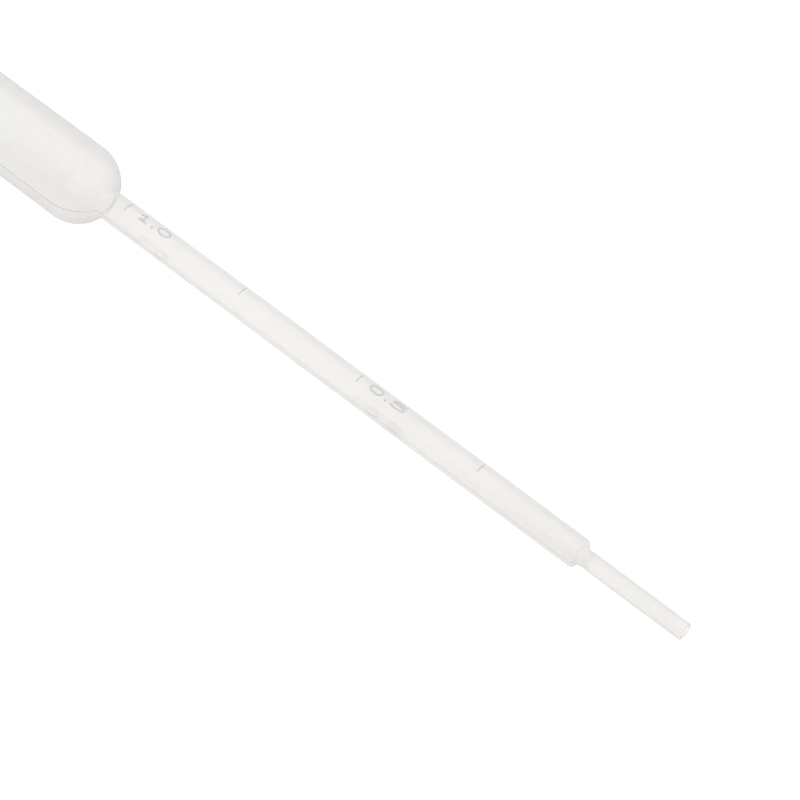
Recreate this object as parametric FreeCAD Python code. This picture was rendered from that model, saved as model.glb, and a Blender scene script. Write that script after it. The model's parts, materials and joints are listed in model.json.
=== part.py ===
"""Plastic dropper pipette: one thin-walled, blow-moulded tube.

The tube is a narrow tip, a shoulder, a graduated barrel, and a squeeze bulb with two domed ends.
It is modelled upright along Z from the tip's open end at Z = 0, and is then laid on its side, where
the bulb's near dome and the round of the shoulder carry it. Sizes are in millimetres.
"""
import FreeCAD, Part
import math
import os

# Outside form, measured from the tip's open end
overall_length = 155.0      # to the top of the pinch-off seam
tip_length = 18.2           # straight part of the tip
shoulder_length = 1.2       # from the tip to the full barrel
neck_at = 110.6             # where the barrel starts to flare into the bulb
tip_od = 2.8
barrel_od = 4.7
bulb_od = 12.8
neck_fillet = 0.5
shoulder_tip_share = 0.45   # share of the shoulder's curve that belongs to its hollow, tip-side arc

# Wall, which thins where the mould stretched it further
tip_wall = 0.53
barrel_wall = 0.49
bulb_wall = 0.40
bulb_end_wall = 0.70        # the closed end is thicker, where the tube was pinched shut

# Raised marks left by the mould
parting_bead_radius = 0.12  # the parting line is a fine round bead, sunk in the wall
parting_bead_height = 0.07  # how far it stands proud
pinch_seam_height = 0.45
pinch_seam_width = 0.8
pinch_seam_length = 7.0

# Graduation, in cubic millimetres: each mark shows a whole multiple of this volume
marked_volume = 250.0
mark_width = 0.32
mark_height = 0.12
mark_half_angle = 22.0      # degrees each side of the middle of its mould half
mark_root = 0.15            # depth of a mark's root inside the wall

# How it lies
graduation_lean = 11.7      # degrees that the graduated side leans back from straight up

# Worked out from the sizes above
tip_radius = tip_od / 2
barrel_radius = barrel_od / 2
bulb_radius = bulb_od / 2
barrel_start = tip_length + shoulder_length
bulb_end = overall_length - pinch_seam_height
dome_centre = neck_at + math.sqrt(
    (bulb_radius + neck_fillet) ** 2 - (barrel_radius + neck_fillet) ** 2
)
shoulder_radii = shoulder_length / math.sin(
    2 * math.atan((barrel_radius - tip_radius) / shoulder_length)
)                           # the radii of the shoulder's two outside arcs, added up
shoulder_hollow = shoulder_tip_share * shoulder_radii
shoulder_round = shoulder_radii - shoulder_hollow
bore_overrun = 1.0          # the bore's cutter starts this far outside the tip

AXIS = FreeCAD.Vector(0, 0, 1)
CENTRE = FreeCAD.Vector(0, 0, 0)


def at(radius, height):
    """A point of a half section, in the XZ plane."""
    return FreeCAD.Vector(radius, 0, height)


def arc(start, middle, end):
    return Part.Arc(start, middle, end).toShape()


def line(start, end):
    return Part.LineSegment(start, end).toShape()


def shoulder(low_radius, high_radius, inset):
    """An S of two arcs from the tip to the barrel, tangent to both of them, for a wall's inset."""
    turn = 2 * math.atan((high_radius - low_radius) / shoulder_length)
    both_radii = shoulder_length / math.sin(turn)
    hollow = both_radii * (shoulder_hollow + inset) / shoulder_radii
    round_over = both_radii - hollow

    def on_hollow(angle):
        return at(low_radius + hollow * (1 - math.cos(angle)), tip_length + hollow * math.sin(angle))

    def on_round(angle):
        return at(
            high_radius - round_over * (1 - math.cos(angle)),
            barrel_start - round_over * math.sin(angle),
        )

    return [
        arc(on_hollow(0), on_hollow(turn / 2), on_hollow(turn)),
        arc(on_round(turn), on_round(turn / 2), on_round(0)),
    ]


def outline(tip_inset, barrel_inset, bulb_inset, end_inset, start, stop=0):
    """The pipette's half outline, inset by the wall at each stretch.

    It runs from the height start at the tip to the radius stop on the closed end.
    """
    tip = tip_radius - tip_inset
    barrel = barrel_radius - barrel_inset
    bulb = bulb_radius - bulb_inset
    fillet = neck_fillet + barrel_inset
    fillet_height = dome_centre - math.sqrt((bulb + fillet) ** 2 - (barrel + fillet) ** 2)
    flare = math.atan2(dome_centre - fillet_height, barrel + fillet)
    end = bulb_end - end_inset
    far_centre = end - bulb

    def on_fillet(angle):
        return at(barrel + fillet * (1 - math.cos(angle)), fillet_height + fillet * math.sin(angle))

    def on_near_dome(angle):
        return at(bulb * math.cos(angle), dome_centre - bulb * math.sin(angle))

    def on_far_dome(angle):
        return at(bulb * math.cos(angle), far_centre + bulb * math.sin(angle))

    return [
        line(at(tip, start), at(tip, tip_length)),
        *shoulder(tip, barrel, barrel_inset),
        line(at(barrel, barrel_start), on_fillet(0)),
        arc(on_fillet(0), on_fillet(flare / 2), on_fillet(flare)),
        arc(on_near_dome(flare), on_near_dome(flare / 2), on_near_dome(0)),
        line(on_near_dome(0), on_far_dome(0)),
        arc(
            on_far_dome(0),
            on_far_dome(math.acos(stop / bulb) / 2),
            at(stop, far_centre + math.sqrt(bulb**2 - stop**2)),
        ),
    ]


def revolved(edges):
    """The solid of revolution whose half outline starts at one end and reaches the axis at the other."""
    foot = edges[0].Vertexes[0].Point
    top = edges[-1].Vertexes[-1].Point
    base = at(0, foot.z)
    section = Part.Wire([line(base, foot), *edges, line(top, base)])
    return Part.Face(section).revolve(CENTRE, AXIS, 360)


def bore_form():
    """The hollow inside, open at the tip, with an even wall round the shoulder and the neck."""
    return revolved(outline(tip_wall, barrel_wall, bulb_wall, bulb_end_wall, -bore_overrun))


def parting_bead(facing):
    """The fine raised line where the two mould halves met, from the tip into the pinch-off seam."""
    sunk = parting_bead_radius - parting_bead_height
    path = outline(sunk, sunk, sunk, sunk, 0, pinch_seam_length / 4)
    section = Part.Circle(at(tip_radius - sunk, 0), AXIS, parting_bead_radius).toShape()
    bead = Part.Wire(path).makePipeShell([Part.Wire(section)], True, False)
    bead.rotate(CENTRE, AXIS, facing)
    return bead


def pinch_seam():
    """The low fin over the closed end, which fades into the dome at both its ends."""
    half_length = pinch_seam_length / 2
    dome_fall = bulb_radius - math.sqrt(bulb_radius**2 - half_length**2)
    rise = dome_fall + pinch_seam_height
    disc_radius = (half_length**2 + rise**2) / (2 * rise)
    return Part.makeCylinder(
        disc_radius,
        pinch_seam_width,
        FreeCAD.Vector(-pinch_seam_width / 2, 0, overall_length - disc_radius),
        FreeCAD.Vector(1, 0, 0),
    )


def mark_heights(bore):
    """Where the bore holds each marked volume, from the open end of the tip up to the neck."""
    below_barrel = Part.makeCylinder(bulb_od, barrel_start)
    volume_below = bore.common(below_barrel).Volume
    bore_area = math.pi * (barrel_radius - barrel_wall) ** 2
    spacing = marked_volume / bore_area
    first = barrel_start + (marked_volume - volume_below) / bore_area
    count = math.ceil((neck_at - mark_width - first) / spacing)
    return [first + number * spacing for number in range(count)]


def graduation_mark(height, facing):
    """A raised, round-topped line across the middle of one mould half."""
    low = height - mark_width / 2
    high = height + mark_width / 2
    root = barrel_radius - mark_root
    section = Part.Wire([
        line(at(root, low), at(barrel_radius, low)),
        arc(at(barrel_radius, low), at(barrel_radius + mark_height, height), at(barrel_radius, high)),
        line(at(barrel_radius, high), at(root, high)),
        line(at(root, high), at(root, low)),
    ])
    mark = Part.Face(section).revolve(CENTRE, AXIS, 2 * mark_half_angle)
    mark.rotate(CENTRE, AXIS, facing - mark_half_angle)
    return mark


def dropper_body():
    """The whole pipette, upright, with its graduated sides towards +X and -X."""
    bore = bore_form()
    raised = [graduation_mark(height, facing) for height in mark_heights(bore) for facing in (0, 180)]
    raised += [parting_bead(facing) for facing in (90, 270)]
    raised.append(pinch_seam())
    return revolved(outline(0, 0, 0, 0, 0)).fuse(raised).cut(bore).removeSplitter()


def resting_slope():
    """The angle at which the pipette slopes down to whatever first meets the surface it lies on."""

    def slope_to(height, radius, rounding):
        along = dome_centre - height
        reach = math.hypot(along, radius)
        return math.asin((bulb_radius - rounding) / reach) - math.atan2(radius, along)

    on_shoulder = slope_to(barrel_start, barrel_radius - shoulder_round, shoulder_round)
    on_tip = slope_to(0, tip_radius, 0)
    return min(on_shoulder, on_tip)


def lay_down(body):
    """Lays the pipette on its side along X, tip towards +X, on the plane Z = 0."""
    slope = resting_slope()
    body.rotate(CENTRE, AXIS, graduation_lean)
    body.rotate(CENTRE, FreeCAD.Vector(0, 1, 0), math.degrees(slope) - 90)
    body.translate(FreeCAD.Vector(0, 0, bulb_radius - dome_centre * math.sin(slope)))
    box = body.optimalBoundingBox(False)
    body.translate(FreeCAD.Vector(-box.Center.x, -box.Center.y, 0))
    return body


def main():
    os.makedirs("parts", exist_ok=True)
    body = lay_down(dropper_body())
    body.exportStep("parts/dropper_body.step")
    print(
        "dropper_body:", len(body.Solids), "solid,", round(body.Volume, 2), "mm3, valid", body.isValid()
    )


main()
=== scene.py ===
"""Plastic dropper pipette: the moulded body in fine detail, its milky plastic and the stage.

The body is one closed skin of rings and columns. Each ring is a station along the pipette's
outline, and each column runs from the bore's closed end, round the open tip, to the outside's
closed end. The raised marks, numerals, parting lines and pinch-off seam are heights added to that
skin, so they blend into it as moulded plastic does. Lengths are in metres.
"""

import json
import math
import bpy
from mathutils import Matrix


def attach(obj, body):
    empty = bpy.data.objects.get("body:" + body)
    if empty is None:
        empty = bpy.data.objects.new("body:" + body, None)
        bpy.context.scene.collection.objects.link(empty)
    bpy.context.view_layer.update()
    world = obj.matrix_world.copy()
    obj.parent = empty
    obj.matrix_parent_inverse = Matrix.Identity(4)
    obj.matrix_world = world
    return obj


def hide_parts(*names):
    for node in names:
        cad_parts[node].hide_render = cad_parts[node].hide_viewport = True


bl_info = {
    "name": "Dropper Pipette",
    "version": (1, 0, 0),
    "blender": (4, 5, 0),
    "location": "View3D > Sidebar > Pipette",
    "description": "Builds a graduated plastic dropper pipette and the stage it lies on",
    "category": "Object",
}

import bpy
import numpy as np
from bpy.props import FloatProperty, FloatVectorProperty, PointerProperty
from mathutils import Matrix, Vector

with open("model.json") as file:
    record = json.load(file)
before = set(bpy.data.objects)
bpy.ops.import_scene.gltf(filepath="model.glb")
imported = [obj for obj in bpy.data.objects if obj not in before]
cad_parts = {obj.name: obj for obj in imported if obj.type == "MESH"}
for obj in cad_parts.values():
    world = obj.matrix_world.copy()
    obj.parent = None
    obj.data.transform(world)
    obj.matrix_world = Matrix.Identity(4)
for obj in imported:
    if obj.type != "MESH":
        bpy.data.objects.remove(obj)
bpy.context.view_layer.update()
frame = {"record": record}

MM = 0.001
MOUNTS = {mount["name"]: mount for mount in frame["record"]["mounts"]}


def mount_radius(name):
    """A mount's radius in metres."""
    return MOUNTS[name]["dims"]["r_mm"] * MM


def mount_length(name):
    """A mount's length in metres."""
    return MOUNTS[name]["dims"]["length_mm"] * MM


def length_of(name, description, default, **limits):
    """A length in metres that a user may change."""
    return FloatProperty(
        name=name, description=description, default=default, unit="LENGTH", precision=6, **limits
    )


# -------------------------------------------------------------------------------------------------
# What a user can change
# -------------------------------------------------------------------------------------------------


class PipetteForm(bpy.types.PropertyGroup):
    """The tube's outline and its wall."""

    tip_radius: length_of("Tip radius", "Outside radius of the tip", mount_radius("tip_outside"))
    tip_length: length_of("Tip length", "Straight part of the tip", mount_length("tip_outside"))
    barrel_radius: length_of(
        "Barrel radius", "Outside radius of the barrel", mount_radius("barrel_outside")
    )
    barrel_length: length_of(
        "Barrel length", "From the shoulder to the neck", mount_length("barrel_outside")
    )
    shoulder_length: length_of("Shoulder length", "From the tip to the full barrel", 1.2 * MM)
    shoulder_share: FloatProperty(
        name="Shoulder share",
        description="Share of the shoulder's curve in its hollow, tip-side arc",
        default=0.45,
        subtype="FACTOR",
    )
    bulb_radius: length_of("Bulb radius", "Outside radius of the bulb", 6.4 * MM)
    neck_fillet: length_of("Neck fillet", "Radius where the barrel meets the bulb", 0.5 * MM)
    overall_length: length_of("Overall length", "From the tip to the top of the seam", 155 * MM)
    tip_wall: length_of(
        "Tip wall", "Wall of the tip", mount_radius("tip_outside") - mount_radius("tip_bore")
    )
    barrel_wall: length_of("Barrel wall", "Wall of the barrel", 0.49 * MM)
    bulb_wall: length_of("Bulb wall", "Wall of the bulb", 0.40 * MM)
    end_wall: length_of("End wall", "Wall at the closed end", 0.70 * MM)
    rim_round: length_of("Rim round", "Rounding of the open tip's two edges", 0.06 * MM)


class PipetteRelief(bpy.types.PropertyGroup):
    """What stands proud of the tube: parting lines, seam, marks and numerals."""

    bead_radius: length_of("Bead radius", "Radius of the parting line's bead", 0.12 * MM)
    bead_height: length_of("Bead height", "How far the parting line stands proud", 0.07 * MM)
    seam_height: length_of("Seam height", "Height of the pinch-off seam", 0.45 * MM)
    seam_width: length_of("Seam width", "Thickness of the pinch-off seam", 0.8 * MM)
    seam_length: length_of("Seam length", "Length of the seam across the closed end", 7 * MM)
    marked_volume: FloatProperty(
        name="Marked volume",
        description="Volume between two marks, in cubic millimetres",
        default=250,
    )
    mark_width: length_of("Mark width", "Width of a graduation mark", 0.32 * MM)
    mark_height: length_of("Mark height", "How far a mark stands proud", 0.12 * MM)
    mark_reach: FloatProperty(
        name="Mark reach",
        description="How far a mark goes round, each side of its middle",
        default=math.radians(22),
        subtype="ANGLE",
    )
    numeral_height: length_of("Numeral height", "Height of a numeral, round the barrel", 1.55 * MM)
    numeral_width: length_of("Numeral width", "Width of a nought, along the barrel", 2.2 * MM)
    numeral_space: length_of("Numeral space", "Clear space between two numerals", 0.83 * MM)
    numeral_gap: length_of("Numeral gap", "From a mark to its first numeral", 2.15 * MM)
    numeral_stroke: length_of("Numeral stroke", "Width of a numeral's stroke", 0.34 * MM)
    numeral_rise: length_of("Numeral rise", "How far a numeral stands proud", 0.13 * MM)
    waviness: length_of(
        "Waviness", "Depth of the slow unevenness that blowing leaves in the wall", 0.012 * MM
    )
    lean: FloatProperty(
        name="Lean",
        description="How far the graduated side leans back from straight up",
        default=math.radians(11.7),
        subtype="ANGLE",
    )


class PipettePlastic(bpy.types.PropertyGroup):
    """The soft translucent plastic."""

    colour: FloatVectorProperty(
        name="Colour",
        description="Colour of the plastic",
        default=(0.87, 0.849, 0.828),
        subtype="COLOR",
        min=0,
        max=1,
    )
    cloud_colour: FloatVectorProperty(
        name="Cloud colour",
        description="Colour where the plastic is a little thicker and milkier",
        default=(0.85, 0.83, 0.812),
        subtype="COLOR",
        min=0,
        max=1,
    )
    milkiness: FloatProperty(
        name="Milkiness",
        description="Share of the light that a wall 1 mm thick scatters, seen straight on",
        default=0.62,
        subtype="FACTOR",
    )
    inner_share: FloatProperty(
        name="Inner share",
        description="Share of the wall's look that its inner skin gives. The outside gives the rest",
        default=0.08,
        subtype="FACTOR",
    )
    slant_depth: FloatProperty(
        name="Depth at a slant",
        description="How many times deeper the wall looks when seen edge on",
        default=2.8,
    )
    edge_loss: FloatProperty(
        name="Edge loss",
        description="Share of the straight light that the outside turns away, seen edge on",
        default=0.75,
        subtype="FACTOR",
    )
    # Painted shade: each raised line's scattered colour and clear light are painted darker by this
    # share
    line_shade_depth: FloatProperty(
        name="Line loss",
        description="Share of all light that a raised line turns away",
        default=0.27,
        subtype="FACTOR",
    )
    # Painted shade on the far half of the bore's bend at the neck, counted in raised lines' painted
    # shade
    bend_shade_strength: FloatProperty(
        name="Bend strength",
        description="How many raised lines the far half of the bore's bend at the neck counts as",
        default=2.05,
    )
    onward: FloatProperty(
        name="Onward scatter",
        description="Share of the scattered light that goes on through, where the rest comes back",
        default=0.5,
        subtype="FACTOR",
    )
    roughness: FloatProperty(
        name="Roughness", description="Satin of the moulded surface", default=0.2, subtype="FACTOR"
    )
    refraction: FloatProperty(
        name="Refraction", description="Index of refraction of polythene", default=1.51
    )


class PipetteStage(bpy.types.PropertyGroup):
    """The floor, the lamps and the camera."""

    floor_radius: length_of("Floor radius", "Radius of the round floor", 6.0)
    floor_colour: FloatVectorProperty(
        name="Floor colour",
        description="Colour of the floor",
        default=(0.8, 0.8, 0.8),
        subtype="COLOR",
        min=0,
        max=1,
    )
    floor_glow: FloatProperty(
        name="Floor glow",
        description="Light added to the floor as the camera, gloss and clear plastic see it",
        default=0.37,
    )
    sky_level: FloatProperty(
        name="Sky level",
        description="Strength of the white sky that lights the pipette",
        default=0.84,
    )
    aim: FloatVectorProperty(
        name="Aim",
        description="The point that the camera looks at",
        default=(20.7 * MM, 4.69 * MM, 0),
        subtype="TRANSLATION",
        precision=6,
    )
    azimuth: FloatProperty(
        name="Azimuth",
        description="How far round the camera stands, from the -Y side towards the tip",
        default=math.radians(40.82),
        subtype="ANGLE",
    )
    elevation: FloatProperty(
        name="Elevation",
        description="How far above the floor the camera stands",
        default=math.radians(55.14),
        subtype="ANGLE",
    )
    distance: length_of("Distance", "From the camera to the point it looks at", 522.6 * MM)
    focal_length: FloatProperty(
        name="Focal length",
        description="Focal length of the lens, on a square sensor 36 mm wide",
        default=160.28,
        unit="CAMERA",
    )


class PipetteSettings(bpy.types.PropertyGroup):
    """Everything that a user can change."""

    form: PointerProperty(type=PipetteForm)
    relief: PointerProperty(type=PipetteRelief)
    plastic: PointerProperty(type=PipettePlastic)
    stage: PointerProperty(type=PipetteStage)


# -------------------------------------------------------------------------------------------------
# The outline: rows of (height, radius, outward direction along, outward direction across)
# -------------------------------------------------------------------------------------------------


def straight_run(radius, heights):
    """A cylindrical stretch at the heights given."""
    rows = np.zeros((len(heights), 4))
    rows[:, 0] = heights
    rows[:, 1] = radius
    rows[:, 3] = 1
    return rows


def arc_run(height, radius, size, first, last, count, outward=1):
    """A round stretch about a centre, where an angle of 0 points away from the axis.

    outward is -1 for a hollow curve, whose centre is outside the plastic.
    """
    turn = np.linspace(first, last, count)
    along = np.sin(turn)
    across = np.cos(turn)
    return np.column_stack(
        [height + size * along, radius + size * across, outward * along, outward * across]
    )


def inner_radius_of(form, part):
    """The bore's radius in the tip, the barrel or the bulb, by its name."""
    return getattr(form, part + "_radius") - getattr(form, part + "_wall")


class Outline:
    """The places that both skins share, worked out from the form and the relief."""

    def __init__(self, form, relief):
        self.form = form
        self.shoulder_end = form.tip_length + form.shoulder_length
        self.neck = self.shoulder_end + form.barrel_length
        reach = form.bulb_radius + form.neck_fillet
        side = form.barrel_radius + form.neck_fillet
        self.dome_centre = self.neck + math.sqrt(reach**2 - side**2)
        self.bulb_end = form.overall_length - relief.seam_height
        _, self.shoulder_radii = self.shoulder_arcs(form.tip_radius, form.barrel_radius)

    def wall_at(self, heights):
        """How thick the wall is at each height."""
        form = self.form
        places = (
            form.tip_length,
            self.shoulder_end,
            self.neck,
            self.neck + 2 * form.neck_fillet,
            self.bulb_end - form.bulb_radius,
            self.bulb_end,
        )
        walls = (
            form.tip_wall,
            form.barrel_wall,
            form.barrel_wall,
            form.bulb_wall,
            form.bulb_wall,
            form.end_wall,
        )
        return np.interp(heights, places, walls)

    def shoulder_arcs(self, low_radius, high_radius):
        """How far each of the shoulder's two arcs turns, and the sum of their radii."""
        turn = 2 * math.atan((high_radius - low_radius) / self.form.shoulder_length)
        return turn, self.form.shoulder_length / math.sin(turn)

    def shoulder(self, low_radius, high_radius, inset, count):
        """The S of two arcs from the tip to the barrel."""
        form = self.form
        turn, both = self.shoulder_arcs(low_radius, high_radius)
        hollow = both * (form.shoulder_share + inset / self.shoulder_radii)
        over = both - hollow
        half = math.pi
        low = arc_run(form.tip_length, low_radius + hollow, hollow, half, half - turn, count, -1)
        high = arc_run(self.shoulder_end, high_radius - over, over, -turn, 0, count)
        return [low, high]

    def skin(self, walls, end_wall, spacing, arc_count, barrel_heights=None):
        """The outline of one skin, inset by the walls of tip, barrel and bulb and by end_wall."""
        form = self.form
        tip = form.tip_radius - walls[0]
        barrel = form.barrel_radius - walls[1]
        bulb = form.bulb_radius - walls[2]
        fillet = form.neck_fillet + walls[1]
        drop = math.sqrt((bulb + fillet) ** 2 - (barrel + fillet) ** 2)
        fillet_height = self.dome_centre - drop
        flare = math.atan2(drop, barrel + fillet)
        far_centre = self.bulb_end - end_wall - bulb
        quarter = math.pi / 2
        half = math.pi
        if barrel_heights is None:
            barrel_heights = evenly(self.shoulder_end, fillet_height, spacing)
        else:
            barrel_heights = barrel_heights[barrel_heights < fillet_height]
        return np.vstack([
            straight_run(tip, evenly(2 * form.rim_round, form.tip_length, spacing)),
            *self.shoulder(tip, barrel, walls[1], arc_count // 3),
            straight_run(barrel, barrel_heights[1:]),
            arc_run(
                fillet_height, barrel + fillet, fillet, half, half - flare, arc_count // 3, -1
            ),
            arc_run(self.dome_centre, 0, bulb, -flare, 0, arc_count)[1:],
            straight_run(bulb, evenly(self.dome_centre, far_centre, spacing)[1:-1]),
            arc_run(far_centre, 0, bulb, 0, quarter, arc_count + arc_count // 2),
        ])


def evenly(start, end, spacing):
    """Heights from start to end, no further apart than spacing."""
    return np.linspace(start, end, max(2, math.ceil((end - start) / spacing) + 1))


# -------------------------------------------------------------------------------------------------
# The relief
# -------------------------------------------------------------------------------------------------


def smooth_step(low, high, value):
    """0 up to low, 1 from high on, and a smooth rise between them."""
    share = np.clip((value - low) / (high - low), 0, 1)
    return share * share * (3 - 2 * share)


def held_volume(rows):
    """The volume that a bore's outline holds, from its first row up to each row."""
    heights = rows[:, 0]
    areas = math.pi * rows[:, 1] ** 2
    slices = np.diff(heights) * (areas[1:] + areas[:-1]) / 2
    return np.concatenate([[0], np.cumsum(slices)])


def mark_heights(outline, relief):
    """Where the bore holds each whole multiple of the marked volume, up to the neck."""
    form = outline.form
    tip = inner_radius_of(form, "tip")
    barrel = inner_radius_of(form, "barrel")
    shoulder = np.vstack(outline.shoulder(tip, barrel, form.barrel_wall, 40))
    below = math.pi * tip**2 * form.tip_length + held_volume(shoulder)[-1]
    volume = relief.marked_volume * MM**3
    area = math.pi * barrel**2
    spacing = volume / area
    first = outline.shoulder_end + (volume - below) / area
    count = math.ceil((outline.neck - relief.mark_width - first) / spacing)
    return [first + number * spacing for number in range(count)]


def stroke_points(corners, spacing=0.02):
    """Points close together along a line through the corners."""
    corners = np.asarray(corners, float)
    runs = []
    for start, end in zip(corners[:-1], corners[1:]):
        count = max(2, int(np.linalg.norm(end - start) / spacing))
        runs.append(start + (end - start) * np.linspace(0, 1, count)[:, None])
    return np.vstack(runs)


def oval_points(centre, half_width, half_height, first=0, last=360, count=80):
    """Points along an oval, from one angle in degrees to another."""
    turn = np.radians(np.linspace(first, last, count))
    return np.column_stack(
        [centre[0] + half_width * np.cos(turn), centre[1] + half_height * np.sin(turn)]
    )


def zero_strokes():
    """A nought in a box 1 wide and 1 high."""
    return oval_points((0.5, 0.5), 0.5, 0.5)


def one_strokes():
    """A one with a flag and a foot."""
    stem = stroke_points([(0.2, 0.7), (0.55, 1), (0.55, 0)])
    foot = stroke_points([(0.25, 0), (0.85, 0)])
    return np.vstack([stem, foot])


def five_strokes():
    """A five: a bar, a stem and a bowl."""
    stem = stroke_points([(0.95, 1), (0.14, 1), (0.09, 0.55)])
    bowl = oval_points((0.45, 0.32), 0.55, 0.32, -150, 130)
    return np.vstack([stem, bowl])


def point_strokes():
    """A point, as a small ring that its stroke fills."""
    return oval_points((0.5, 0.05), 0.5, 0.05, count=12)


# Each numeral's strokes, and its width as a share of a nought's
NUMERALS = {
    "0": (zero_strokes, 1.0),
    "1": (one_strokes, 1.0),
    "5": (five_strokes, 1.1),
    ".": (point_strokes, 0.08),
}
# Which mark carries which label
LABELS = ((1, "0.5"), (3, "1.0"))


def label_points(label, relief):
    """The strokes of a label as points: how far towards the tip, and how far round, in metres."""
    place = 0.0
    points = []
    tall = relief.numeral_height - relief.numeral_stroke
    for letter in label:
        strokes, share = NUMERALS[letter]
        width = relief.numeral_width * share
        shape = strokes()
        points.append(np.column_stack([place + shape[:, 0] * width, (shape[:, 1] - 0.5) * tall]))
        place += width + relief.numeral_space
    return np.vstack(points)


def stroke_rise(along, round_way, points, relief):
    """The height of a rounded stroke at each place, by the distance to its nearest point."""
    rise = np.zeros(along.shape)
    margin = relief.numeral_stroke
    near = (
        (along > points[:, 0].min() - margin)
        & (along < points[:, 0].max() + margin)
        & (np.abs(round_way) < relief.numeral_height / 2 + margin)
    )
    places = np.column_stack([along[near], round_way[near]])
    nearest = np.full(len(places), np.inf)
    for point in points:
        nearest = np.minimum(nearest, ((places - point) ** 2).sum(1))
    half = relief.numeral_stroke / 2
    rise[near] = relief.numeral_rise * np.sqrt(np.clip(1 - nearest / half**2, 0, 1))
    return rise


# Half the length over which a mark's ends fade out
MARK_END_SOFTNESS = 0.1 * MM


def mark_rise(heights, round_way, marks, relief, radius):
    """The round-topped marks across the middle of each mould half."""
    half = relief.mark_width / 2
    past_end = np.abs(round_way) - relief.mark_reach * radius
    ends = 1 - smooth_step(-MARK_END_SOFTNESS, MARK_END_SOFTNESS, past_end)
    rise = np.zeros(heights.shape)
    for mark in marks:
        across = np.clip(1 - ((heights - mark) / half) ** 2, 0, 1)
        rise = np.maximum(rise, relief.mark_height * across * ends)
    return rise


def bead_rise(radii, turn, relief):
    """The round bead where the mould halves met, at right angles to the middle of each half."""
    off_line = np.abs(radii * np.cos(turn))
    sunk = relief.bead_radius - relief.bead_height
    bead = np.sqrt(np.clip(relief.bead_radius**2 - off_line**2, 0, None)) - sunk
    return np.clip(bead, 0, None)


# Half the width of the slope at each side of the pinch-off seam
SEAM_SLOPE = 0.03 * MM


def seam_top(form, relief, off_middle):
    """The height of the pinch-off seam's round top, by the distance from the middle of the end.

    It is 0 beyond the seam's disc.
    """
    half = relief.seam_length / 2
    rise = form.bulb_radius - math.sqrt(form.bulb_radius**2 - half**2) + relief.seam_height
    disc = (half**2 + rise**2) / (2 * rise)
    top = form.overall_length - disc + np.sqrt(np.clip(disc**2 - off_middle**2, 0, None))
    return np.where(off_middle < disc, top, 0)


def seam_lift(outline, form, relief, height, radius, turn):
    """How far the pinch-off seam lifts each point of the far dome along the axis."""
    half = relief.seam_width / 2
    off_plane = np.abs(radius * np.cos(turn))
    in_plane = np.abs(radius * np.sin(turn))
    seam = 1 - smooth_step(half - SEAM_SLOPE, half + SEAM_SLOPE, off_plane)
    top = seam_top(form, relief, in_plane)
    on_end = height > outline.bulb_end - form.bulb_radius
    return np.where(on_end, np.clip(top - height, 0, None) * seam, 0)


# Slow waves round and along the tube: (waves round, length of a wave in mm, share, phase)
OUTER_WAVES = ((2, 41.0, 0.5, 0.4), (3, 23.0, 0.3, 2.1), (1, 13.7, 0.3, 4.0), (5, 9.1, 0.12, 1.2))
INNER_WAVES = ((2, 31.0, 1.0, 3.3), (3, 17.0, 0.7, 0.9), (4, 11.3, 0.4, 5.2), (1, 7.9, 0.4, 2.6))


def waves(heights, turn, kinds, depth):
    """How far slow waves lift the skin at each place."""
    total = 0
    for around, length, share, phase in kinds:
        total = total + share * np.sin(
            around * turn + 2 * math.pi * heights / (length * MM) + phase
        )
    return depth * total


# -------------------------------------------------------------------------------------------------
# The body's mesh
# -------------------------------------------------------------------------------------------------

# How far a column stays from the parting plane, in mm: close together over the bead and over the
# sides of the seam
PARTING_COLUMNS = (0, 0.04, 0.075, 0.1, 0.12, 0.17, 0.28, 0.37, 0.43, 0.6)
# Columns from the last of those on one parting line to the last on the other
HALF_COLUMNS = 74
# For each skin, the greatest step between rings on plain stretches, and the rings in the near dome,
# from which the other curves take theirs
OUTER_STEP = 1.5 * MM
OUTER_ARC_RINGS = 30
INNER_STEP = 2.0 * MM
INNER_ARC_RINGS = 16
# Rings over a mark, and how far they reach from its middle, as a multiple of half its width
MARK_RINGS = 15
MARK_MARGIN = 1.6
# The step between rings over a numeral, and the least step anywhere on the barrel
NUMERAL_STEP = 0.09 * MM
LEAST_STEP = 0.02 * MM
# Rings in each rounded edge of the open tip
RIM_RINGS = 5
# Within this radius of the axis the waves die out, so that the closed ends stay smooth
WAVE_FADE = 3 * MM
# Over this length from the tip the bore's waves grow to their full depth
TIP_FADE = 20 * MM
# How strongly a parting line's painted shade shows on the barrel, where it is fainter than on the
# bulb
BARREL_LINE_SHADE = 0.55
# Where the painted shade on the bore's bend begins, is full, still is full and ends, past the neck
BEND = (0.2 * MM, 0.4 * MM, 0.55 * MM, 0.75 * MM)
# Within this radius of the closed end's middle the columns run straight to the middle
SEAM_COLUMN_RADIUS = 0.62 * MM


def column_turns(radii, least_radius):
    """Each ring's column angles about the axis, from one parting line round and back to it.

    An angle of 0 is the middle of the side that is uppermost.
    """
    reach = np.arcsin(
        np.array(PARTING_COLUMNS) * MM / np.maximum(radii, least_radius)[:, None]
    )
    quarter = math.pi / 2
    near_line = np.hstack([-reach[:, :0:-1], reach])
    between = reach[:, -1:] + (math.pi - 2 * reach[:, -1:]) * np.linspace(0, 1, HALF_COLUMNS)[1:-1]
    half = np.hstack([near_line, between])
    return np.hstack([half - quarter, half + quarter])


def ring_grid(rows, least_radius):
    """A grid of heights, radii, angles and outward directions for a skin's rows."""
    turn = column_turns(rows[:, 1], least_radius)
    height, radius, along, across = (
        np.repeat(rows[:, k : k + 1], turn.shape[1], axis=1) for k in range(4)
    )
    return height, radius, turn, along, across


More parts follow.
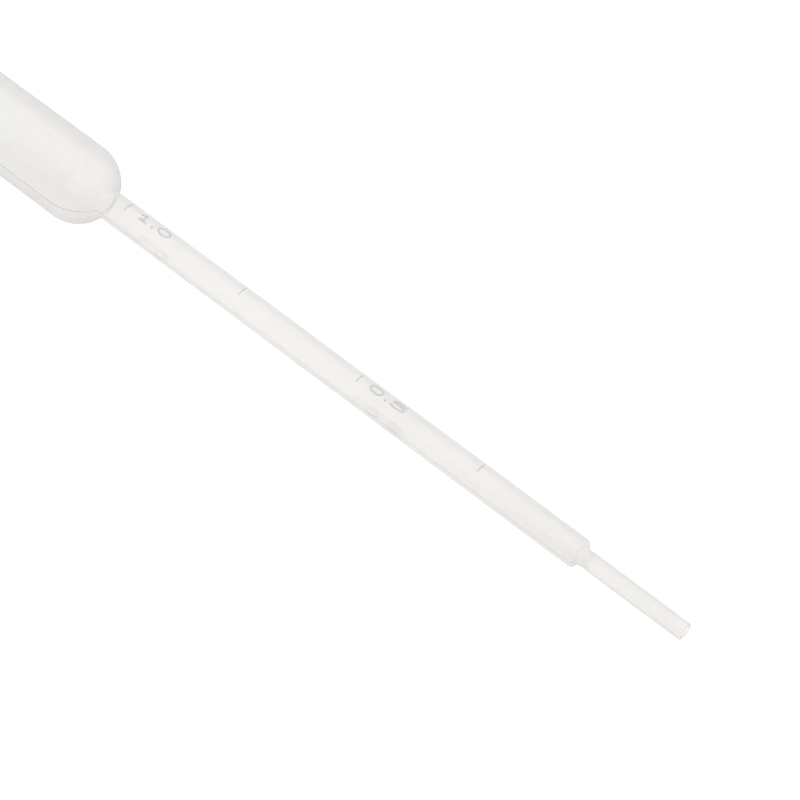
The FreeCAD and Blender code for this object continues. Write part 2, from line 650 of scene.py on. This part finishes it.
def raised_heights(outline, relief, marks, labels):
    """Heights along the barrel, close together over the marks and the numerals."""
    half = relief.mark_width / 2
    places = [evenly(outline.shoulder_end, outline.neck, OUTER_STEP)]
    for mark in marks:
        places.append(mark + np.linspace(-MARK_MARGIN, MARK_MARGIN, MARK_RINGS) * half)
    for mark, label in labels:
        reach = label_points(label, relief)[:, 0].max()
        start = mark - relief.numeral_gap - reach - relief.numeral_stroke
        end = mark - relief.numeral_gap + relief.numeral_stroke
        places.append(evenly(start, end, NUMERAL_STEP))
    heights = np.unique(np.concatenate(places))
    apart = np.concatenate([[True], np.diff(heights) > LEAST_STEP])
    heights = heights[apart]
    return heights[(heights >= outline.shoulder_end) & (heights <= outline.neck)]


def seam_rings(outline, form, relief):
    """Two rings round the closed end's middle, where the seam's sides begin and end."""
    half = relief.seam_width / 2
    foot = math.acos((half + SEAM_SLOPE) / form.bulb_radius)
    brow = math.acos((half - SEAM_SLOPE) / form.bulb_radius)
    centre = outline.bulb_end - form.bulb_radius
    return arc_run(centre, 0, form.bulb_radius, foot, brow, 2)


def outer_skin(outline, form, relief):
    """The outside, with all that stands proud of it, and how much painted shade each point takes as
    a raised line.
    """
    marks = mark_heights(outline, relief)
    labels = [(marks[place], label) for place, label in LABELS]
    barrel_heights = raised_heights(outline, relief, marks, labels)
    rows = outline.skin((0, 0, 0), 0, OUTER_STEP, OUTER_ARC_RINGS, barrel_heights)
    rows = np.vstack([rows, seam_rings(outline, form, relief)])
    rows = rows[np.argsort(rows[:, 0], kind="stable")]
    least_radius = np.where(rows[:, 0] > outline.dome_centre, SEAM_COLUMN_RADIUS, form.tip_radius)
    height, radius, turn, along, across = ring_grid(rows, least_radius)
    from_middle = (turn + math.pi / 2) % math.pi - math.pi / 2
    round_way = form.barrel_radius * from_middle
    rise = mark_rise(height, round_way, marks, relief, form.barrel_radius)
    for mark, label in labels:
        towards_tip = mark - relief.numeral_gap - height
        points = label_points(label, relief)
        rise = np.maximum(rise, stroke_rise(towards_tip, round_way, points, relief))
    # How much painted shade the marks and numerals take, by how far they stand proud
    raised = rise / relief.mark_height
    inside_seam = relief.seam_length / 4
    has_bead = (height < outline.bulb_end - form.bulb_radius) | (radius > inside_seam)
    bead = np.where(has_bead, bead_rise(radius, turn, relief), 0)
    rise = np.maximum(rise, bead)
    # The parting lines' painted shade, fainter on the barrel than on the bulb
    on_bulb = smooth_step(form.barrel_radius, form.bulb_radius, radius)
    line_shade_strength = BARREL_LINE_SHADE + (1 - BARREL_LINE_SHADE) * on_bulb
    raised = np.clip(np.maximum(raised, line_shade_strength * bead / relief.bead_height), 0, 1)
    fade = smooth_step(0, WAVE_FADE, radius)
    rise = rise + waves(height, turn, OUTER_WAVES, relief.waviness) * fade
    height = height + along * rise
    radius = radius + across * rise
    lift = seam_lift(outline, form, relief, height, radius, turn)
    return height + lift, radius, turn, raised


def inner_skin(outline, form, relief):
    """The bore, from the tip to the closed end, with the same values as the outside."""
    walls = (form.tip_wall, form.barrel_wall, form.bulb_wall)
    rows = outline.skin(walls, form.end_wall, INNER_STEP, INNER_ARC_RINGS)
    height, radius, turn, along, across = ring_grid(rows, form.tip_radius)
    fade = smooth_step(0, WAVE_FADE, radius) * smooth_step(0, TIP_FADE, height)
    rise = waves(height, turn, INNER_WAVES, relief.waviness) * fade
    return height + along * rise, radius + across * rise, turn, np.zeros(turn.shape)


def rim_rings(form):
    """The rounded rim between the two skins, as (height, radius), from the bore to the outside."""
    corner = form.rim_round
    inner = inner_radius_of(form, "tip")
    turn = np.linspace(0, math.pi / 2, RIM_RINGS)
    into = np.column_stack([corner * (1 - np.sin(turn)), inner + corner * (1 - np.cos(turn))])
    out = np.column_stack(
        [corner * (1 - np.cos(turn)), form.tip_radius - corner * (1 - np.sin(turn))]
    )
    return np.vstack([into, out])


def lie(height, radius, turn, form, lean):
    """Turns heights, radii and angles into points on the pipette as it lies."""
    tip = MOUNTS["tip_outside"]
    to_bulb = -np.array(tip["axis"])
    tip_end = np.array(tip["pos_m"]) - to_bulb * form.tip_length / 2
    up = np.array([0, 0, 1.0]) - to_bulb[2] * to_bulb
    up = up / np.linalg.norm(up)
    side = np.cross(to_bulb, up)
    front = math.cos(lean) * up + math.sin(lean) * side
    beside = math.cos(lean) * side - math.sin(lean) * up
    return (
        tip_end
        + height[..., None] * to_bulb
        + (radius * np.cos(turn))[..., None] * front
        + (radius * np.sin(turn))[..., None] * beside
    )


def ring_faces(ring_count, column_count, poles):
    """Quads between the rings, and a fan of triangles to the point at each closed end."""
    ring = np.arange(ring_count - 1)[:, None] * column_count
    here = np.arange(column_count)[None, :]
    beside = (here + 1) % column_count
    quads = np.stack(
        [ring + here, ring + beside, ring + column_count + beside, ring + column_count + here], -1
    ).reshape(-1, 4)
    faces = quads.tolist()
    column = np.arange(column_count)
    after = (column + 1) % column_count
    first_pole, last_pole = poles
    faces += np.column_stack([np.full(column_count, first_pole), after, column]).tolist()
    last = (ring_count - 1) * column_count
    last_fan = [np.full(column_count, last_pole), last + column, last + after]
    faces += np.column_stack(last_fan).tolist()
    return faces


def give_values(mesh, name, values):
    """A number for each point, for the plastic's material to read."""
    layer = mesh.attributes.new(name, "FLOAT", "POINT")
    layer.data.foreach_set("value", values.astype(np.float32))


def body_mesh(form, relief, inner_share):
    """The whole skin, from the bore's closed end, through the rim, to the outside's closed end."""
    outline = Outline(form, relief)
    inner = [values[::-1][1:] for values in inner_skin(outline, form, relief)]
    outer = [values[:-1] for values in outer_skin(outline, form, relief)]
    rim = rim_rings(form)
    rim_turn = np.repeat(outer[2][:1], len(rim), axis=0)
    rim_height, rim_radius = (
        np.repeat(rim[:, k : k + 1], rim_turn.shape[1], axis=1) for k in range(2)
    )
    outside = rim_radius > form.tip_radius - form.rim_round
    bead = bead_rise(rim_radius, rim_turn, relief) * outside
    height = np.vstack([inner[0], rim_height, outer[0]])
    radius = np.vstack([inner[1], rim_radius + bead, outer[1]])
    turn = np.vstack([inner[2], rim_turn, outer[2]])
    raised = np.vstack([inner[3], np.zeros(rim_turn.shape), outer[3]])
    points = lie(height, radius, turn, form, relief.lean).reshape(-1, 3)
    poles = lie(
        np.array([outline.bulb_end - form.end_wall, form.overall_length]),
        np.zeros(2),
        np.zeros(2),
        form,
        relief.lean,
    )
    count = len(points)
    faces = ring_faces(height.shape[0], height.shape[1], (count, count + 1))
    mesh = bpy.data.meshes.new("pipette_body")
    mesh.from_pydata(np.vstack([points, poles]).tolist(), [], faces)
    mesh.validate()
    share = np.full(height.shape, 1 - inner_share)
    bore_rings = len(inner[0])
    share[:bore_rings] = inner_share
    give_values(mesh, "share", np.append(share, [inner_share, 1 - inner_share]))
    give_values(mesh, "wall", np.append(outline.wall_at(height), [form.end_wall] * 2) / MM)
    # How much painted shade each point takes as a raised line
    give_values(mesh, "raised", np.append(raised, [0, 0]))
    # A ring of painted shade on the bore's bend, just past the neck
    past_neck = height - outline.neck
    bend = smooth_step(*BEND[:2], past_neck) * (1 - smooth_step(*BEND[2:], past_neck))
    bend[bore_rings:] = 0
    give_values(mesh, "bend", np.append(bend, [0, 0]))
    mesh.polygons.foreach_set("use_smooth", np.ones(len(mesh.polygons), bool))
    mesh.update()
    return mesh


# -------------------------------------------------------------------------------------------------
# Materials
# -------------------------------------------------------------------------------------------------


class Shader:
    """A material's node tree, with short ways to add and join nodes."""

    def __init__(self, name):
        self.material = bpy.data.materials.new(name)
        self.material.use_nodes = True
        self.tree = self.material.node_tree
        self.tree.nodes.clear()
        self.output = self.add("ShaderNodeOutputMaterial")

    def add(self, kind, inputs=None, **settings):
        """A node with its settings, whose inputs are values or other nodes' outputs."""
        node = self.tree.nodes.new(kind)
        for name, value in settings.items():
            setattr(node, name, value)
        for name, value in (inputs or {}).items():
            if isinstance(value, bpy.types.NodeSocket):
                self.tree.links.new(value, node.inputs[name])
            else:
                node.inputs[name].default_value = value
        return node

    def math(self, operation, first, second):
        """An operation on two numbers, which are values or other nodes' outputs."""
        return self.add("ShaderNodeMath", {0: first, 1: second}, operation=operation).outputs[0]

    def blend(self, factor, first, second):
        """A colour between two others."""
        node = self.add("ShaderNodeMix", {0: factor}, data_type="RGBA")
        # A Mix node's sockets 6 and 7 are its two colours, and its output 2 is the colour between
        node.inputs[6].default_value = (*first, 1)
        node.inputs[7].default_value = (*second, 1)
        return node.outputs[2]

    def dim(self, colour, share):
        """A colour times a number."""
        return self.add(
            "ShaderNodeVectorMath", {0: colour, "Scale": share}, operation="SCALE"
        ).outputs["Vector"]

    def range(self, value, from_min, from_max, to_min, to_max):
        """A number moved from one range into another, and kept within it."""
        node = self.add(
            "ShaderNodeMapRange",
            {
                "Value": value,
                "From Min": from_min,
                "From Max": from_max,
                "To Min": to_min,
                "To Max": to_max,
            },
        )
        return node.outputs["Result"]

    def surfaced(self, surface):
        """The material, with a shader's output as its surface."""
        self.tree.links.new(surface, self.output.inputs["Surface"])
        return self.material


# Share of the slant that counts where light leaves the plastic
LEAVING_SLANT = 0.3
# How suddenly the outside turns light away towards its edge
EDGE_SHARPNESS = 3.0
# The wall's least and greatest depth in the clouds, as a share of its thickness
CLOUD_DEPTHS = (0.92, 1.08)
# The least and the greatest roughness in the streaks, as a share of the plastic's
STREAK_ROUGHNESS = (0.75, 1.25)


def along_axis_coordinates(shader):
    """Places in millimetres, turned so that X runs along the pipette."""
    axis = Vector(MOUNTS["tip_outside"]["axis"])
    slope = math.atan2(-axis.z, axis.x)
    place = shader.add("ShaderNodeTexCoord").outputs["Object"]
    turned = shader.add(
        "ShaderNodeMapping",
        {"Vector": place, "Rotation": (0, -slope, 0), "Scale": (1 / MM, 1 / MM, 1 / MM)},
    )
    return turned.outputs["Vector"]


def stretched(shader, place, along, across):
    """Places scaled along the tube and across it, so that a noise is drawn out one way."""
    return shader.add(
        "ShaderNodeMapping", {"Vector": place, "Scale": (along, across, across)}
    ).outputs["Vector"]


def noise(shader, place, scale, detail, roughness=0.5):
    """A soft noise between 0 and 1, where scale is in waves per millimetre."""
    node = shader.add(
        "ShaderNodeTexNoise",
        {"Vector": place, "Scale": scale, "Detail": detail, "Roughness": roughness},
    )
    return node.outputs["Fac"]


def polythene(plastic):
    """Milky polythene: part of the light goes straight through, and the rest scatters back and on.

    More of it scatters where the wall is thick or seen at a slant. Raised lines and the far half of
    the bore's bend at the neck are painted darker, a painted shade in the scattered and clear light;
    the outside's edge turns some clear light away. Streaks are drawn along the tube, with soft
    clouds and a fine satin from the mould.
    """
    shader = Shader("soft_polythene")
    place = along_axis_coordinates(shader)
    drawn_out = stretched(shader, place, along=0.06, across=1.0)
    streaks = noise(shader, drawn_out, scale=2.2, detail=3.0)
    clouds = noise(shader, stretched(shader, place, along=0.5, across=1.0), scale=0.35, detail=3.0)
    satin = noise(shader, place, scale=4.0, detail=2.0, roughness=0.6)
    slant = shader.add("ShaderNodeLayerWeight", {"Blend": 0.5}).outputs["Facing"]
    raised, bend, wall, share = (
        shader.add("ShaderNodeAttribute", attribute_name=name).outputs["Fac"]
        for name in ("raised", "bend", "wall", "share")
    )
    leaving = shader.add("ShaderNodeNewGeometry").outputs["Backfacing"]
    # Painted shade on the bend, on its front faces only: the far half of the bore's bend
    bend = shader.math("MULTIPLY", bend, shader.range(leaving, 0, 1, plastic.bend_shade_strength, 0))
    slant = shader.math("MULTIPLY", slant, shader.range(leaving, 0, 1, 1, LEAVING_SLANT))
    # Painted shade: raised lines and the bend darken the scattered colour and the clear light
    strongest = shader.math("MAXIMUM", raised, bend)
    lines = shader.range(strongest, 0, 1 / plastic.line_shade_depth, 1, 0)
    cloudiness = shader.range(clouds, 0.35, 0.7, 0, 1)
    cloudy = shader.blend(cloudiness, plastic.colour, plastic.cloud_colour)
    colour = shader.dim(cloudy, lines)
    least, greatest = (share_of * plastic.roughness for share_of in STREAK_ROUGHNESS)
    rough = shader.range(streaks, 0.3, 0.7, least, greatest)
    drawn = shader.add(
        "ShaderNodeBump", {"Height": streaks, "Strength": 0.25, "Distance": 0.05 * MM}
    )
    grain = shader.add(
        "ShaderNodeBump",
        {
            "Height": satin,
            "Strength": 0.15,
            "Distance": 0.005 * MM,
            "Normal": drawn.outputs["Normal"],
        },
    ).outputs["Normal"]
    back = shader.add(
        "ShaderNodeBsdfPrincipled",
        {
            "Base Color": colour,
            "Roughness": rough,
            "IOR": plastic.refraction,
            "Coat Weight": 0.6,
            "Coat Roughness": 0.2,
            "Normal": grain,
        },
    )
    onward = shader.add("ShaderNodeBsdfTranslucent", {"Color": colour, "Normal": grain})
    milk = shader.add(
        "ShaderNodeMixShader",
        {0: plastic.onward, 1: back.outputs["BSDF"], 2: onward.outputs["BSDF"]},
    )
    depth = shader.math("MULTIPLY", wall, shader.range(clouds, 0.3, 0.7, *CLOUD_DEPTHS))
    depth = shader.math("MULTIPLY", depth, shader.range(slant, 0, 1, 1, plastic.slant_depth))
    depth = shader.math("MULTIPLY", depth, share)
    unscattered = shader.math("POWER", 1 - plastic.milkiness, depth)
    solid = shader.math("SUBTRACT", 1.0, unscattered)
    edge = shader.math("MULTIPLY", shader.math("POWER", slant, EDGE_SHARPNESS), share)
    # The clear light keeps the lines' painted shade, and loses some at the outside's edge
    kept = shader.math("MULTIPLY", lines, shader.range(edge, 0, 1, 1, 1 - plastic.edge_loss))
    clear = shader.add("ShaderNodeBsdfTransparent", {"Color": kept})
    surface = shader.add(
        "ShaderNodeMixShader", {0: solid, 1: clear.outputs["BSDF"], 2: milk.outputs["Shader"]}
    )
    return shader.surfaced(surface.outputs["Shader"])


def seen_white(shader, strength):
    """A glow that the camera, reflections and clear plastic see, so that the ground is white."""
    path = shader.add("ShaderNodeLightPath")
    seen = path.outputs["Is Camera Ray"]
    for name in ("Is Glossy Ray", "Is Transmission Ray"):
        seen = shader.math("MAXIMUM", seen, path.outputs[name])
    glow = shader.math("MULTIPLY", seen, strength)
    return shader.add("ShaderNodeEmission", {"Strength": glow}).outputs["Emission"]


def floor_material(stage):
    """A matt white floor that still takes the shadow."""
    shader = Shader("pale_floor")
    matt = shader.add(
        "ShaderNodeBsdfPrincipled",
        {"Base Color": (*stage.floor_colour, 1), "Roughness": 0.9, "Specular IOR Level": 0.1},
    )
    glow = seen_white(shader, stage.floor_glow)
    both = shader.add("ShaderNodeAddShader", {0: matt.outputs["BSDF"], 1: glow})
    return shader.surfaced(both.outputs["Shader"])


# -------------------------------------------------------------------------------------------------
# The operators
# -------------------------------------------------------------------------------------------------

# Each lamp: name, place in metres, width of its disk in metres, power in watts
LAMPS = (("key", (0.45, -0.85, 0.55), 1.2, 4.0), ("fill", (-0.5, 0.6, 0.8), 0.9, 0.4))
FLOOR_CORNERS = 96
# How far below the pipette the floor lies, so that they never share a plane
FLOOR_DROP = 0.02 * MM
# Width of the camera's sensor, in mm
SENSOR_WIDTH = 36


def linked(name, data):
    """A new object in the scene."""
    thing = bpy.data.objects.new(name, data)
    bpy.context.scene.collection.objects.link(thing)
    return thing


class PIPETTE_OT_body(bpy.types.Operator):
    """Moulds the pipette's body, with its marks and numerals, and gives it its plastic"""

    bl_idname = "pipette.body"
    bl_label = "Mould the body"

    def execute(self, context):
        settings = context.scene.pipette
        mesh = body_mesh(settings.form, settings.relief, settings.plastic.inner_share)
        body = linked("pipette_body", mesh)
        body.data.materials.append(polythene(settings.plastic))
        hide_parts("dropper_body")
        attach(body, "root")
        return {"FINISHED"}


class PIPETTE_OT_stage(bpy.types.Operator):
    """Sets the floor, the lamps and the camera"""

    bl_idname = "pipette.stage"
    bl_label = "Set the stage"

    def execute(self, context):
        stage = context.scene.pipette.stage
        self.lay_floor(stage)
        self.light(context.scene, stage.sky_level)
        self.place_camera(context.scene, stage)
        context.scene.view_settings.view_transform = "Standard"
        return {"FINISHED"}

    def lay_floor(self, stage):
        turn = np.linspace(0, 2 * math.pi, FLOOR_CORNERS, endpoint=False)
        circle = np.column_stack([np.cos(turn), np.sin(turn), np.zeros(FLOOR_CORNERS)])
        mesh = bpy.data.meshes.new("floor")
        mesh.from_pydata((circle * stage.floor_radius).tolist(), [], [list(range(FLOOR_CORNERS))])
        floor = linked("floor", mesh)
        floor.location.z = -FLOOR_DROP
        mesh.materials.append(floor_material(stage))

    def light(self, scene, sky_level):
        """A white sky and the lamps. The camera sees the sky at a strength of 1."""
        world = bpy.data.worlds.new("studio")
        world.use_nodes = True
        tree = world.node_tree
        background = tree.nodes["Background"]
        background.inputs["Color"].default_value = (1, 1, 1, 1)
        path = tree.nodes.new("ShaderNodeLightPath")
        level = tree.nodes.new("ShaderNodeMapRange")
        level.inputs["To Min"].default_value = sky_level
        tree.links.new(path.outputs["Is Camera Ray"], level.inputs["Value"])
        tree.links.new(level.outputs["Result"], background.inputs["Strength"])
        scene.world = world
        for name, place, size, power in LAMPS:
            self.lamp(name, place, size, power)

    def lamp(self, name, place, size, power):
        light = bpy.data.lights.new(name, "AREA")
        light.shape = "DISK"
        light.size = size
        light.energy = power
        lamp = linked(name, light)
        lamp.location = place
        lamp.rotation_euler = (-Vector(place)).to_track_quat("-Z", "Y").to_euler()

    def place_camera(self, scene, stage):
        data = bpy.data.cameras.new("camera")
        data.sensor_width = SENSOR_WIDTH
        data.lens = stage.focal_length
        data.clip_start = 10 * MM
        camera = linked("camera", data)
        across = math.cos(stage.elevation)
        away = Vector((
            math.sin(stage.azimuth) * across,
            -math.cos(stage.azimuth) * across,
            math.sin(stage.elevation),
        ))
        turned = away.to_track_quat("Z", "Y").to_matrix().to_4x4()
        place = Vector(stage.aim) + away * stage.distance
        camera.matrix_world = Matrix.Translation(place) @ turned
        scene.camera = camera


class PIPETTE_PT_panel(bpy.types.Panel):
    """The pipette's settings and its operators"""

    bl_idname = "PIPETTE_PT_panel"
    bl_label = "Dropper pipette"
    bl_space_type = "VIEW_3D"
    bl_region_type = "UI"
    bl_category = "Pipette"

    def draw(self, context):
        settings = context.scene.pipette
        for title, group in (
            ("Form", settings.form),
            ("Relief", settings.relief),
            ("Plastic", settings.plastic),
            ("Stage", settings.stage),
        ):
            box = self.layout.box()
            box.label(text=title)
            for name in group.bl_rna.properties.keys():
                if name not in ("rna_type", "name"):
                    box.prop(group, name)
        self.layout.operator(PIPETTE_OT_body.bl_idname)
        self.layout.operator(PIPETTE_OT_stage.bl_idname)


CLASSES = (
    PipetteForm,
    PipetteRelief,
    PipettePlastic,
    PipetteStage,
    PipetteSettings,
    PIPETTE_OT_body,
    PIPETTE_OT_stage,
    PIPETTE_PT_panel,
)


def register():
    for cls in CLASSES:
        bpy.utils.register_class(cls)
    bpy.types.Scene.pipette = PointerProperty(type=PipetteSettings)


def unregister():
    del bpy.types.Scene.pipette
    for cls in reversed(CLASSES):
        bpy.utils.unregister_class(cls)


def main():
    register()
    bpy.ops.pipette.body()
    bpy.ops.pipette.stage()


if __name__ == "__main__":
    main()
